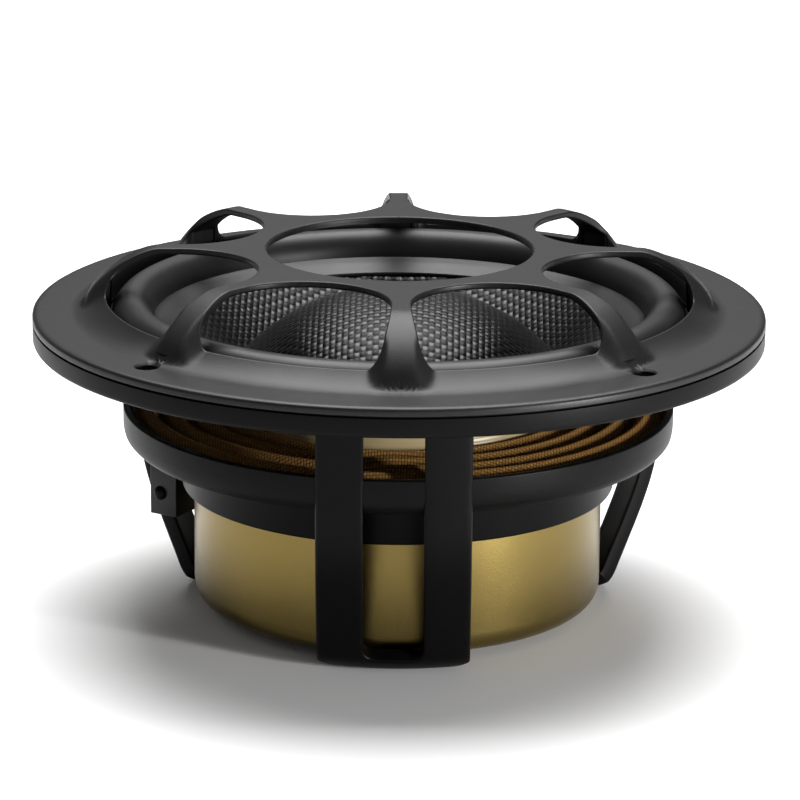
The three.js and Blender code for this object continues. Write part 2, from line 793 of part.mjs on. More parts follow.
// A flexible lead, from beside its blade, up outside the damper ring, over it and in to the former.
function makeLead(name, side, bladeIndex) {
  const x = side * 2.6;
  const height = bladeHeights[bladeIndex];
  const startY = -boardFront + (boardDepth - bladeWidths[bladeIndex]) / 2 - leadRadius - fit;
  const outside = ringRadius + leadRadius + 0.9;
  const overRing = ringTop + leadRadius + 2.6;
  const landing = formerRadius + leadRadius + fit;
  const route = new THREE.CatmullRomCurve3([
    new THREE.Vector3(x, startY, height + 0.4),
    new THREE.Vector3(x, -outside + 1.0, (height + ringBottom) / 2 + 3.0),
    new THREE.Vector3(x, -outside, ringBottom + 2.0),
    new THREE.Vector3(x, -outside, ringTop - 0.8),
    new THREE.Vector3(x, -ringRadius + 2.5, overRing),
    new THREE.Vector3(x, -(ringRadius + landing) / 2, overRing - 0.2),
    new THREE.Vector3(x, -landing - 4.0, overRing + 0.6),
    new THREE.Vector3(x, -landing, overRing + 2.2),
  ]);
  const section = new THREE.Shape();
  section.absarc(0, 0, leadRadius, 0, 2 * Math.PI, false);
  const lead = new THREE.ExtrudeGeometry(section, { steps: 18, extrudePath: route, curveSegments: 3 });
  add(name, toAngle(lead, boardPair), 0xb9854f, 0.5, 0.7);
}

// ---------------------------------------------------------------------------------------------
// Fasteners
// ---------------------------------------------------------------------------------------------

const countersinkDepth = 1.2;

// The recess for a flat-headed screw whose head is at a height; its point goes up (1) or down (-1).
function countersink(radius, degrees, height, up) {
  const head = screwHead + fit;
  const shank = screwShank + fit;
  const recess = turned([
    [0, -1], [head, -1], [head, 0.2], [shank, countersinkDepth + 0.2], [shank, 8], [0, 8],
  ], smallSegments);
  if (up < 0) recess.rotateX(Math.PI);
  return toAngle(recess.translate(0, -radius, height), degrees);
}

function flatScrew(radius, degrees, height, up, length) {
  const screw = turned([
    [0, seat], [screwHead, seat], [screwShank, countersinkDepth + seat], [screwShank, length], [0, length],
  ], smallSegments);
  if (up < 0) screw.rotateX(Math.PI);
  return toAngle(screw.translate(0, -radius, height), degrees);
}

function panScrew(radius, degrees, height, length) {
  const headHeight = 1.7;
  const headRadius = Math.min(screwHead, cupWall / 2 - 1.2);
  const screw = turned([
    [0, -length],
    [screwShank, -length],
    [screwShank, seat],
    [headRadius, seat],
    [headRadius, headHeight * 0.7],
    [headRadius * 0.75, headHeight],
    [0, headHeight],
  ], smallSegments);
  return toAngle(screw.translate(0, -radius, height), degrees);
}

function makeScrews() {
  const ringFace = floorTop + seat + tierFlange;
  for (let i = 0; i < ringScrewCount; i += 1) {
    const angle = screwAngle(i, ringScrewCount);
    const length = tierFlange + seat + floorThickness - fit;
    add(`ring_screw_${i + 1}`, flatScrew(ringScrewRadius, angle, ringFace, -1, length), ...bareSteel);
  }
  for (let i = 0; i < cupScrewCount; i += 1) {
    const angle = screwAngle(i, cupScrewCount);
    const length = tierFoot + fit + cupScrewDepth - fit;
    add(`cup_screw_${i + 1}`, panScrew(cupScrewRadius, angle, tierBottom + tierFoot, length), ...bareSteel);
  }
  for (let i = 0; i < hubScrewCount; i += 1) {
    const angle = screwAngle(i, hubScrewCount);
    const length = baseThickness + fit + hubScrewDepth - fit;
    add(`hub_screw_${i + 1}`, flatScrew(hubScrewRadius, angle, 0, 1, length), ...bareSteel);
  }
}

makeGrille();
makeTrimGasket();
makeBasket();
makeMotorRing();
makeMagnetCup();
makeMotorInside();
makeVentScreen();
makeSurround();
makeCone();
makeDustCap();
makeVoiceCoil();
makeSpider();
makeTerminalBoard();
makeRivet();
makeBlades();
makeLead('lead_positive', 1, 0);
makeLead('lead_negative', -1, 1);
makeScrews();

export default pieces;
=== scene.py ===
# %% [markdown]
# A car midbass driver stands on its motor with the cone facing up. The frame below brings in the
# measured solids, in metres. Each piece that shows is then modelled finely over its plain solid,
# in the order in which the driver goes together, and painted with its own procedural finish.

# %% Open the measured frame
import math

import bmesh
import bpy
from mathutils import Matrix, Vector


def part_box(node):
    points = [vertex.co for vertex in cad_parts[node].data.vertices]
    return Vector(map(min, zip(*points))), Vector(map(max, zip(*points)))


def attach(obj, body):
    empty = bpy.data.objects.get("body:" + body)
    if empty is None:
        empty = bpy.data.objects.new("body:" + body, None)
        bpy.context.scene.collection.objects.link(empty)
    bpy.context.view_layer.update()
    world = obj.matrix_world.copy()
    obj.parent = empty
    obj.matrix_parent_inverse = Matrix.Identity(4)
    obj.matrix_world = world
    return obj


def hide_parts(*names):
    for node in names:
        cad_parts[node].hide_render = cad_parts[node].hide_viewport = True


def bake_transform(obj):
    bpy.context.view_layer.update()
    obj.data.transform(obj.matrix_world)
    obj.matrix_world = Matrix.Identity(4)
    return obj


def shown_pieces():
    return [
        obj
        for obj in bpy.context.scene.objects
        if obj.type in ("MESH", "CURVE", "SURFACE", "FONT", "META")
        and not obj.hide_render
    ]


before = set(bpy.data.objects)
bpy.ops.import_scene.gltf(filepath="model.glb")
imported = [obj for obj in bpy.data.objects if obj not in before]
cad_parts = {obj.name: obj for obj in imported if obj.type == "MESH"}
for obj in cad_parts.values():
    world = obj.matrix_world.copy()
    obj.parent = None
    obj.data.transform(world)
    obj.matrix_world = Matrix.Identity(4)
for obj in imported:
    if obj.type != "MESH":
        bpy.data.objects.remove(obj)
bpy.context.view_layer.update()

mm = 0.001

# %% [markdown]
# Nearly every piece of a loudspeaker is turned about one axis. The sizes that the pieces share are
# read from the measured solids, so the fine pieces land where the plain ones are.

# %% Sizes shared by the pieces
def low(node):
    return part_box(node)[0] / mm


def high(node):
    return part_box(node)[1] / mm


rim_radius = high("grille").x
rim_bottom = low("grille").z
dome_top = high("grille").z
flange_top = high("basket").z
cup_radius = high("magnet_cup").x
cup_bottom = low("magnet_cup").z
cup_top = high("magnet_cup").z
former_radius = high("coil_former").x
rim_thickness = 1.9
rim_width = 11.7
rim_top = rim_bottom + rim_thickness
dome_foot = rim_radius - rim_width
fit = 0.3
print("rim radius", round(rim_radius, 2), "rim top", round(rim_top, 2))
print("dome top", round(dome_top, 2), "dome foot", round(dome_foot, 2))

# %% [markdown]
# A turned section is drawn as a few corners, each with its own fillet, and swept round. Fillets in
# the section give every edge its thin highlight, with no bevel that could go wrong on fine meshes.

# %% Turning a section
def rounded(corners, steps=5):
    """Corners (radius, height, fillet) in mm, round the section, with each corner filleted."""
    points = []
    for i, (r, z, fillet) in enumerate(corners):
        here = Vector((r, z))
        before = Vector(corners[i - 1][:2]) - here
        after = Vector(corners[(i + 1) % len(corners)][:2]) - here
        if fillet == 0:
            points.append(here)
            continue
        start = here + before.normalized() * min(fillet, before.length * 0.48)
        end = here + after.normalized() * min(fillet, after.length * 0.48)
        for k in range(steps + 1):
            t = k / steps
            points.append(start * (1 - t) ** 2 + here * 2 * t * (1 - t) + end * t * t)
    return [(p.x, p.y) for p in points]


def piece(name, mesh_maker):
    """An object whose mesh mesh_maker fills in, in mm, with faces turned outwards and smooth."""
    mesh = bpy.data.meshes.new(name)
    work = bmesh.new()
    mesh_maker(work)
    bmesh.ops.remove_doubles(work, verts=work.verts, dist=1e-4)
    bmesh.ops.recalc_face_normals(work, faces=work.faces)
    bmesh.ops.scale(work, vec=(mm, mm, mm), verts=work.verts)
    work.to_mesh(mesh)
    work.free()
    obj = bpy.data.objects.new(name, mesh)
    bpy.context.scene.collection.objects.link(obj)
    smooth(obj)
    return obj


def smooth(obj, angle=35):
    obj.data.shade_smooth()
    obj.data.set_sharp_from_angle(angle=math.radians(angle))


def around(radius, height, turn):
    """A point at an angle about the axis, counted from the front."""
    return Vector((radius * math.sin(turn), -radius * math.cos(turn), height))


def add_turned(work, section, turns, closed=True):
    rings = []
    for k in range(turns):
        turn = 2 * math.pi * k / turns
        rings.append([work.verts.new(around(r, z, turn)) for r, z in section])
    last = len(section) if closed else len(section) - 1
    for k in range(turns):
        here, there = rings[k], rings[(k + 1) % turns]
        for i in range(last):
            j = (i + 1) % len(section)
            corners = [here[i], here[j], there[j], there[i]]
            work.faces.new(corners)


def turned(name, section, turns=256, closed=True):
    return piece(name, lambda work: add_turned(work, section, turns, closed))


def body(obj, rides="frame", stands_for=()):
    """Joins a finished piece to its body, in place of the plain solids that it stands for."""
    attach(obj, rides)
    if stands_for:
        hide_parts(*stands_for)
    print(obj.name, len(obj.data.vertices), "points")
    return obj


# %% [markdown]
# Holes are cut with a boolean. A drill here is a small turned solid with a chamfer at its mouth,
# because a sharp hole in a coated rim would look like a black dot with no edge.

# %% Drilling
def drill(radius, depth, chamfer, place, down=True):
    sign = 1 if down else -1
    section = [(0, 2 * sign), (radius + chamfer + 2, 2 * sign), (radius, -chamfer * sign),
               (radius, -depth * sign), (0, -depth * sign)]

    def fill(work):
        add_turned(work, [(max(r, 1e-5), z) for r, z in section], 32)
        bmesh.ops.translate(work, vec=place, verts=work.verts)

    return piece("drill", fill)


def cut(obj, tools):
    for tool in tools:
        step = obj.modifiers.new("cut", "BOOLEAN")
        step.operation = "DIFFERENCE"
        step.solver = "EXACT"
        step.object = tool
    scene_now = bpy.context.evaluated_depsgraph_get()
    mesh = bpy.data.meshes.new_from_object(obj.evaluated_get(scene_now))
    obj.modifiers.clear()
    obj.data = mesh
    for tool in tools:
        bpy.data.objects.remove(tool)
    smooth(obj)
    return obj


bolt_inset = 7.7
bolt_bore = 2.5
bolt_circle = rim_radius - bolt_inset
bolt_turns = [math.radians(45 + 90 * k) for k in range(4)]
print("mounting holes on a circle of", round(2 * bolt_circle, 1), "mm")

# %% [markdown]
# The grille is one moulding: a flat rim, a dome with eight windows and a round opening in the
# middle. A boolean would leave ragged edges round the windows, so the mesh is laid out in rings
# about each window instead. The first rings follow a true round at the window's edge, and the rest
# spread to the arms' centre lines, the hoop and the rim.

# %% Grille sizes
dome_height = dome_top - rim_top
dome_wall = 1.5
arm_start = dome_foot - 17.0
arm_reach = 17.5
squareness = 1.5
hoop_bore = 30.4
hoop_width = 5.5
arm_half = 2.2
arm_flare = 1.4
sill = dome_foot - 5.0
sill_height = 3.7
corner_size = 3.0
window_turn = math.radians(1.2)
half_pitch = math.pi / 8
edge_round = 0.45
foot_blend = 3.0
window_centre = (hoop_bore + hoop_width - arm_half) / (1 - math.sin(half_pitch))
window_radius = window_centre - hoop_bore - hoop_width
print("window radius", round(window_radius, 2), "centred at", round(window_centre, 2))


# %% The grille's two faces
def arm_height(r):
    """Height of an arm's outer face above the rim: level near the hoop, then down to the foot."""
    if r <= arm_start:
        return dome_height
    t = min(1.0, (r - arm_start) / arm_reach)
    return dome_height * (1 - t ** squareness) ** (1 / squareness)


def apron_height(r):
    """Height of the low apron between the arms, from the windows' sill down to the flat rim."""
    t = min(1.0, max(0.0, (r - sill) / (dome_foot + foot_blend - sill)))
    return sill_height * (1 - t) ** 1.7


def smoothstep(low_end, high_end, value):
    t = min(1, max(0, (value - low_end) / (high_end - low_end)))
    return t * t * (3 - 2 * t)


def outer_face(r, off):
    """Height of the front face, at a radius and a distance off the nearest arm's centre line.
    Each arm's foot spreads into the apron like the bell of a trumpet."""
    apron = apron_height(r)
    spread = smoothstep(2.4, 7.5, off) * smoothstep(sill - 4.0, sill, r)
    foot = smoothstep(dome_foot - 1.5, dome_foot + foot_blend, r)
    top = apron + max(0.0, arm_height(r) * (1 - foot) - apron) * (1 - spread)
    near = r - hoop_bore
    if near < edge_round:
        top -= edge_round - math.sqrt(max(0, edge_round ** 2 - (edge_round - near) ** 2))
    return rim_top + top


def inner_face(r, off):
    """Height of the back face, which is the same at every distance off an arm."""
    if r >= sill - 0.6:
        return rim_bottom
    return rim_top + arm_height(r + 1.1) - dome_wall


# %% The outline of one window
def bend(a, b, c, steps):
    """Points of a curve from a to c that leans towards b, without its first point."""
    ts = [k / steps for k in range(1, steps + 1)]
    return [a * (1 - t) ** 2 + b * 2 * t * (1 - t) + c * t * t for t in ts]


def beside(out, off):
    """A point beside the arm: how far out along the arm, and how far from its centre line."""
    along = Vector((math.cos(half_pitch), math.sin(half_pitch)))
    across = Vector((math.sin(half_pitch), -math.cos(half_pitch)))
    return along * out + across * off


def half_window():
    """One side of the outline as (outwards, sideways), from the hoop to the middle of the sill."""
    arc_steps = 30
    touch = math.pi / 2 + half_pitch
    points = []
    for k in range(arc_steps + 1):
        turn = math.pi + (touch - math.pi) * k / arc_steps
        across = window_radius * math.sin(turn)
        points.append(Vector((window_centre + window_radius * math.cos(turn), across)))
    side_end = beside(sill - corner_size, arm_half + arm_flare)
    corner = beside(sill, arm_half + arm_flare * 1.5)
    turn_end = half_pitch - (arm_half + arm_flare * 1.5 + corner_size) / sill
    sill_end = Vector((sill * math.cos(turn_end), sill * math.sin(turn_end)))
    points += bend(points[-1], beside(sill - corner_size * 3, arm_half), side_end, 18)
    points += bend(side_end, corner, sill_end, 10)
    for k in range(1, 21):
        turn = turn_end * (1 - k / 20)
        points.append(Vector((sill * math.cos(turn), sill * math.sin(turn))))
    return points


def spaced(points, count):
    """The same line with count even steps."""
    lengths = [0.0]
    for a, b in zip(points, points[1:]):
        lengths.append(lengths[-1] + (b - a).length)
    result = []
    k = 0
    for step in range(count + 1):
        want = lengths[-1] * step / count
        while k < len(points) - 2 and lengths[k + 1] < want:
            k += 1
        share = (want - lengths[k]) / (lengths[k + 1] - lengths[k])
        result.append(points[k].lerp(points[k + 1], min(1, max(0, share))))
    return result


# %% The ring-by-ring mesh
hoop_steps, arm_steps, rim_steps = 14, 52, 22
grille_rows = 18


def window_field():
    """For each point of the half outline: the point, the way out of the window, and its mate on the
    boundary of the half sector."""
    outline = spaced(half_window(), hoop_steps + arm_steps + rim_steps)
    mates = [Vector((hoop_bore * math.cos(half_pitch * k / hoop_steps),
                     hoop_bore * math.sin(half_pitch * k / hoop_steps))) for k in range(hoop_steps)]
    outer = dome_foot + foot_blend
    for k in range(arm_steps):
        mates.append(beside(hoop_bore + (outer - hoop_bore) * (k / arm_steps) ** 1.06, 0))
    for k in range(rim_steps + 1):
        turn = half_pitch * (1 - k / rim_steps)
        mates.append(Vector((outer * math.cos(turn), outer * math.sin(turn))))
    field = []
    for i, place in enumerate(outline):
        ahead = outline[min(i + 1, len(outline) - 1)] - outline[max(i - 1, 0)]
        if i == 0:
            way = Vector((-1, 0))
        elif i == len(outline) - 1:
            way = Vector((1, 0))
        else:
            way = Vector((-ahead.y, ahead.x)).normalized()
        field.append((place, way, mates[i]))
    return field


def rows_of(place, way, mate):
    """Points from the window's edge to the boundary, each with its drop for the round edge."""
    rows = []
    for k in range(6):
        lift = 1 - math.cos(math.pi / 2 * k / 5)
        off = edge_round * lift
        drop = edge_round - math.sqrt(max(0, edge_round ** 2 - (edge_round - off) ** 2))
        rows.append((place + way * off, drop))
    start = place + way * edge_round
    for k in range(1, grille_rows + 1):
        t = (1 - math.cos(math.pi * k / grille_rows)) / 2
        rows.append((start.lerp(mate, t), 0.0))
    return rows


def lifted(point, drop, turn, face, sign):
    r = point.length
    angle = math.atan2(point.y, point.x)
    off = r * math.sin(half_pitch - abs(angle))
    return around(r, face(r, off) - sign * drop, angle + turn)


def fill_grille(work):
    columns = [rows_of(*item) for item in window_field()]
    wall_steps = 3
    rim_section = rounded([
        (rim_radius, rim_top, 1.8),
        (rim_radius, rim_bottom, 0.08),
        (dome_foot + foot_blend, rim_bottom, 0),
        (dome_foot + foot_blend, rim_top, 0),
    ])
    first_rim = hoop_steps + arm_steps
    for sector in range(8):
        for mirror in (1, -1):
            turn = half_pitch * (2 * sector + 1) + window_turn
            strips = []
            for i, rows in enumerate(columns):
                sided = [(Vector((p.x, p.y * mirror)), drop) for p, drop in rows]
                front = [lifted(p, drop, turn, outer_face, 1) for p, drop in sided]
                back = [lifted(p, drop, turn, inner_face, -1) for p, drop in sided]
                wall = [back[0].lerp(front[0], k / wall_steps) for k in range(1, wall_steps)]
                loop = list(reversed(back)) + wall + front
                if i < hoop_steps + 1:
                    loop += [front[-1].lerp(back[-1], k / wall_steps) for k in range(1, wall_steps)]
                strips.append([work.verts.new(v) for v in loop])
            for a, b in zip(strips, strips[1:]):
                for k in range(min(len(a), len(b)) - 1):
                    work.faces.new([a[k], b[k], b[k + 1], a[k + 1]])
            for a, b in zip(strips[:hoop_steps], strips[1:hoop_steps + 1]):
                work.faces.new([a[-1], b[-1], b[0], a[0]])
            rim = []
            for i in range(first_rim, len(columns)):
                mate = columns[i][-1][0]
                angle = math.atan2(mate.y * mirror, mate.x) + turn
                rim.append([work.verts.new(around(r, z, angle)) for r, z in rim_section[:-1]])
                rim[-1].append(work.verts.new(around(dome_foot + foot_blend, rim_top, angle)))
            for a, b in zip(rim, rim[1:]):
                for k in range(len(a) - 2):
                    work.faces.new([a[k], b[k], b[k + 1], a[k + 1]])
                work.faces.new([a[-1], b[-1], b[0], a[0]])


grille = piece("grille_moulding", fill_grille)
check = bmesh.new()
check.from_mesh(grille.data)
print("grille open edges:", sum(1 for e in check.edges if len(e.link_faces) != 2))
check.free()

# %% Mounting holes in the grille's rim
cut(grille, [drill(bolt_bore, 6, 0.35, around(bolt_circle, rim_top, turn)) for turn in bolt_turns])
body(grille, stands_for=["grille"])

# %% [markdown]
# Under the grille lies a thin gasket. Only its edge shows, as a dark line between two coated rims.

# %% Gasket
gasket = turned("rim_gasket", rounded([
    (rim_radius - 0.6, low("trim_gasket").z, 0.1),
    (rim_radius - 0.6, high("trim_gasket").z, 0.1),
    (dome_foot + 0.6, high("trim_gasket").z, 0.1),
    (dome_foot + 0.6, low("trim_gasket").z, 0.1),
], steps=2))
bores = [around(bolt_circle, rim_bottom, turn) for turn in bolt_turns]
cut(gasket, [drill(bolt_bore, 3, 0.05, place) for place in bores])
body(gasket, stands_for=["trim_gasket"])

# %% [markdown]
# The basket is cast in one piece. Its flange and damper ring are turned sections. Each pair of legs
# is a flat U that is bent: the U is cut out, its edges are rounded while it is still flat, and then
# every point is moved onto the curve that the legs follow from the flange down and in under the
# motor. Rounding first keeps the edges even along the whole bend.

# %% Flange and damper ring
flange_thickness = 4.4
flange_overhang = 20.4
ring_wall = 1.7
ledge_width = 4.2
floor_thickness = 1.8
ledge_height = 6.6
lip_height = 1.7
tier_inset = 13.5
roll_inset = 6.1
flange_bottom = flange_top - flange_thickness
ring_radius = rim_radius - flange_overhang
ledge_outer = ring_radius - ring_wall
ring_bore = ledge_outer - ledge_width
ring_bottom = low("spider").z - 5.5
ledge_top = ring_bottom + ledge_height
ring_top = ledge_top + lip_height
floor_top = ring_bottom + floor_thickness
tier_radius = ring_radius - tier_inset
recess = high("surround").x + fit
roll_outer = dome_foot - roll_inset

flange = turned("basket_flange", rounded([
    (rim_radius, flange_top, 0.08),
    (recess, flange_top, 0.3),
    (recess, flange_top - 1.2, 0.2),
    (roll_outer + 0.5, flange_top - 1.2, 0.3),
    (roll_outer + 0.5, flange_bottom + 2.0, 0.3),
    (ledge_outer + fit, flange_bottom + 2.0, 0.5),
    (ledge_outer + fit, flange_bottom, 0.6),
    (rim_radius, flange_bottom, 1.1),
]))
bores = [around(bolt_circle, flange_top, turn) for turn in bolt_turns]
cut(flange, [drill(bolt_bore, 7, 0.2, place) for place in bores])
body(flange, stands_for=["basket"])

damper_ring = turned("basket_damper_ring", rounded([
    (ring_radius, ring_top, 0.35),
    (ledge_outer, ring_top, 0.3),
    (ledge_outer, ledge_top, 0.3),
    (ring_bore, ledge_top, 0.3),
    (ring_bore, floor_top, 0.5),
    (tier_radius + fit, floor_top, 0.3),
    (tier_radius + fit, ring_bottom, 0.3),
    (ring_radius - 2.1, ring_bottom, 0.6),
    (ring_radius - 0.4, ring_bottom + 1.7, 0.8),
    (ring_radius, ring_bottom + 3.6, 1.2),
]))
body(damper_ring)

# %% The curve that the legs follow
leg_proud = 0.3
leg_radius = ring_radius + leg_proud
toe = Vector((cup_radius + 5.5, 4.7))
heel = Vector((cup_radius - 2.1, 0.0))
lean = 0.42
leg_end = 22.0


def cubic(a, b, c, d, steps):
    """Points of a cubic curve from a to d that leaves towards b and arrives from c."""
    points = []
    for k in range(steps + 1):
        t = k / steps
        near = a * (1 - t) ** 3 + b * 3 * t * (1 - t) ** 2
        points.append(near + c * 3 * t * t * (1 - t) + d * t ** 3)
    return points


leg_line = [Vector((leg_radius, flange_bottom + 0.6))]
leg_line += cubic(Vector((leg_radius, ring_bottom)), Vector((leg_radius, ring_bottom * 0.66)),
                  toe + Vector((12 * lean, 12)), toe, 60)
leg_line += cubic(toe, toe - Vector((3 * lean, 3)), heel + Vector((3.5, 0)), heel, 24)[1:]
leg_line.append(Vector((leg_end, 0.0)))
leg_line = spaced(leg_line, 400)
leg_length = sum((b - a).length for a, b in zip(leg_line, leg_line[1:]))
print("a leg is", round(leg_length, 1), "mm long round its bend")


def on_leg(distance):
    """The place and the outward direction of the legs' outer face, this far from the flange."""
    share = min(max(distance / leg_length, 0), 1) * (len(leg_line) - 1)
    k = min(int(share), len(leg_line) - 2)
    place = leg_line[k].lerp(leg_line[k + 1], share - k)
    ahead = leg_line[min(k + 4, len(leg_line) - 1)] - leg_line[max(k - 3, 0)]
    return place, Vector((-ahead.y, ahead.x)).normalized()


hub_thickness = 2.1
leg_full = 3.8


def distance_at(height):
    """How far along the leg its outer face passes a height."""
    for k in range(len(leg_line)):
        if leg_line[k].y <= height:
            return leg_length * k / (len(leg_line) - 1)
    return leg_length


def leg_thickness(distance):
    """Thin beside the spider's ledge, full below it, and thin again under the motor."""
    place, _ = on_leg(distance)
    if place.y > ring_top - 1:
        return leg_radius - ledge_outer
    under = min(1, max(0, (place.x - heel.x) / 5))
    return hub_thickness + (leg_full - hub_thickness) * under


# %% One pair of legs
leg_out, leg_in = 17.05, 6.63
leg_round = 0.7
web_height = 3.6
foot_half = 14.5


def flat_pair(work):
    """A flat U in x and y, where y is the distance along the leg, with its edges rounded."""
    web = distance_at(web_height)
    toe_along = distance_at(2.0)
    corner = 3.0
    outline = [(-leg_out, 0), (-leg_in, 0), (-leg_in, web - corner)]
    for k in range(1, 7):
        turn = math.pi / 2 * k / 6
        across = -leg_in + corner * (1 - math.cos(turn))
        outline.append((across, web - corner + corner * math.sin(turn)))
    outline += [(-x, y) for x, y in reversed(outline)]
    foot = [(leg_out, toe_along), (foot_half, toe_along + 3.0), (foot_half - 1.0, leg_length)]
    outline += foot + [(-x, y) for x, y in reversed(foot)]
    front = work.faces.new([work.verts.new((x, y, 0)) for x, y in outline])
    grown = bmesh.ops.extrude_face_region(work, geom=[front])
    lifted_points = [v for v in grown["geom"] if isinstance(v, bmesh.types.BMVert)]
    bmesh.ops.translate(work, vec=(0, 0, leg_full), verts=lifted_points)
    long_edges = [e for e in work.edges if abs(e.verts[0].co.z - e.verts[1].co.z) < 1e-6]
    bmesh.ops.bevel(work, geom=long_edges, offset=leg_round, segments=3, profile=0.5,
                    affect="EDGES")
    bmesh.ops.triangulate(work, faces=[f for f in work.faces if len(f.verts) > 4])
    along_cuts, cut_pitch = 90, 3.1
    planes = [((0, leg_length * k / along_cuts, 0), (0, 1, 0)) for k in range(1, along_cuts)]
    planes += [((cut_pitch * k, 0, 0), (1, 0, 0)) for k in range(-5, 6)]
    for place, normal in planes:
        everything = list(work.verts) + list(work.edges) + list(work.faces)
        bmesh.ops.bisect_plane(work, geom=everything, dist=1e-5, plane_co=place, plane_no=normal)


def fill_pair(turn):
    def fill(work):
        flat_pair(work)
        for v in work.verts:
            place, out = on_leg(v.co.y)
            depth = v.co.z / leg_full * leg_thickness(v.co.y)
            point = place - out * depth
            back = math.sqrt(max(point.x ** 2 - v.co.x ** 2, 1.0))
            v.co = Vector((v.co.x, -back, point.y))
        bmesh.ops.rotate(work, matrix=Matrix.Rotation(turn, 3, "Z"), verts=work.verts)

    return fill


for index, side in enumerate(("front", "right", "left")):
    pair = piece("basket_legs_" + side, fill_pair(math.radians(120 * index)))
    body(pair)

# %% Hub
hub_radius, hub_bore = 27.0, 12.0
hub_screw_circle = 20.0
hub = turned("basket_hub", rounded([
    (hub_radius, 0.0, 0.3),
    (hub_radius, hub_thickness, 0.3),
    (hub_bore, hub_thickness, 0.3),
    (hub_bore, 0.0, 0.3),
]))
hub_turns = [math.radians(60 + 120 * k) for k in range(3)]
bores = [around(hub_screw_circle, 0.0, turn) for turn in hub_turns]
cut(hub, [drill(1.6, 4, 1.2, place, down=False) for place in bores])
body(hub)

# %% [markdown]
# The motor is a deep steel pot, plated and bead-blasted to a champagne gold. Above it a black steel
# ring carries it from the basket's floor. Both are turned.

# %% Motor pot and motor ring
cup_wall, cup_floor, vent_radius = 7.1, 7.0, 7.0
tier_flange, tier_wall = 1.4, 2.6
cup_bore = cup_radius - cup_wall
pot = turned("motor_pot", rounded([
    (cup_radius, cup_top, 0.5),
    (cup_bore, cup_top, 0.3),
    (cup_bore, cup_bottom + cup_floor, 0.5),
    (vent_radius, cup_bottom + cup_floor, 0.5),
    (vent_radius, cup_bottom, 0.5),
    (cup_radius, cup_bottom, 5.0),
], steps=10))
body(pot, stands_for=["magnet_cup"])

tier_low = low("motor_ring").z
tier_high = high("motor_ring").z
motor_ring = turned("motor_carrier_ring", rounded([
    (tier_radius, tier_low, 0.5),
    (tier_radius, tier_high - tier_flange, 0.2),
    (high("motor_ring").x, tier_high - tier_flange, 0.2),
    (high("motor_ring").x, tier_high, 0.3),
    (tier_radius - tier_wall, tier_high, 0.3),
    (tier_radius - tier_wall, tier_low + tier_wall, 0.5),
    (cup_bore + 0.6, tier_low + tier_wall, 0.3),
    (cup_bore + 0.6, tier_low, 0.3),
]))
body(motor_ring, stands_for=["motor_ring"])

# %% [markdown]
# The voice coil's former is a tube of glass cloth in resin. A pale, honey-coloured band of it shows
# between the cone and the spider.

# %% Coil former
former_wall = 0.4
former = turned("glass_former", rounded([
    (former_radius, low("coil_former").z, 0.1),
    (former_radius, high("coil_former").z, 0.1),
    (former_radius - former_wall, high("coil_former").z, 0.1),
    (former_radius - former_wall, low("coil_former").z, 0.1),
], steps=2))
body(former, "cone_body", ["coil_former"])

# %% [markdown]
# The cone and the dust cap are pressed from a plain-woven sheet of flat tows. The tows stand up in
# small rounded pads, and each pad catches the light by itself. The pads are real relief here: a
# fine turned mesh is lifted by a weave pattern laid over it in plan.

# %% Weave relief
tow = 1.4
weave_lift = 0.20


def pad_height(x, y):
    """Height of a plain weave, 0 to 1. In every other square the tow on top runs the other way."""
    i, j = math.floor(x / tow), math.floor(y / tow)
    a, b = x / tow - i - 0.5, y / tow - j - 0.5
    if (i + j) % 2:
        a, b = b, a
    across = math.sqrt(max(0.0, 1 - (2 * b) ** 2))
    along = math.cos(math.pi * a * 0.92)
    return across * (0.35 + 0.65 * along)


def weave(obj):
    """Lifts every point that faces up by the pattern over it."""
    obj.data.update()
    normals = [v.normal.copy() for v in obj.data.vertices]
    for v, normal in zip(obj.data.vertices, normals):
        if normal.z > 0.2:
            v.co += normal * (pad_height(v.co.x / mm, v.co.y / mm) - 0.5) * weave_lift * mm
    obj.data.update()


# %% Cone
neck = former_radius + fit
neck_top = high("coil_former").z + 0.09
cone_edge_radius = 50.3
cone_depth = 8.2
cone_edge = neck_top + cone_depth
cone_wall = 0.7
lip_drop, lip_width = 2.2, 5.8


def cone_section():
    """The cone's top face is finely divided for the weave, and its underside isn't."""
    outer = high("cone").x
    slope = lip_drop / lip_width
    steps = 46
    points = [(outer, cone_edge + (outer - cone_edge_radius) * slope - cone_wall)]
    points.append((outer, cone_edge + (outer - cone_edge_radius) * slope))
    for k in range(steps + 1):
        t = k / steps
        r = cone_edge_radius + (neck - cone_edge_radius) * t
        points.append((r, cone_edge + (neck_top - cone_edge) * t))
    points.append((neck, neck_top - cone_wall))
    points.append((cone_edge_radius, cone_edge - cone_wall))
    return points


cone = turned("woven_cone", cone_section(), turns=720)
weave(cone)
body(cone, "cone_body", ["cone"])

# %% Dust cap
cap_rise = 17.6
cap_radius = former_radius - 0.2
cap_bottom = low("dust_cap").z
cap_sphere = (cap_radius ** 2 + cap_rise ** 2) / (2 * cap_rise)


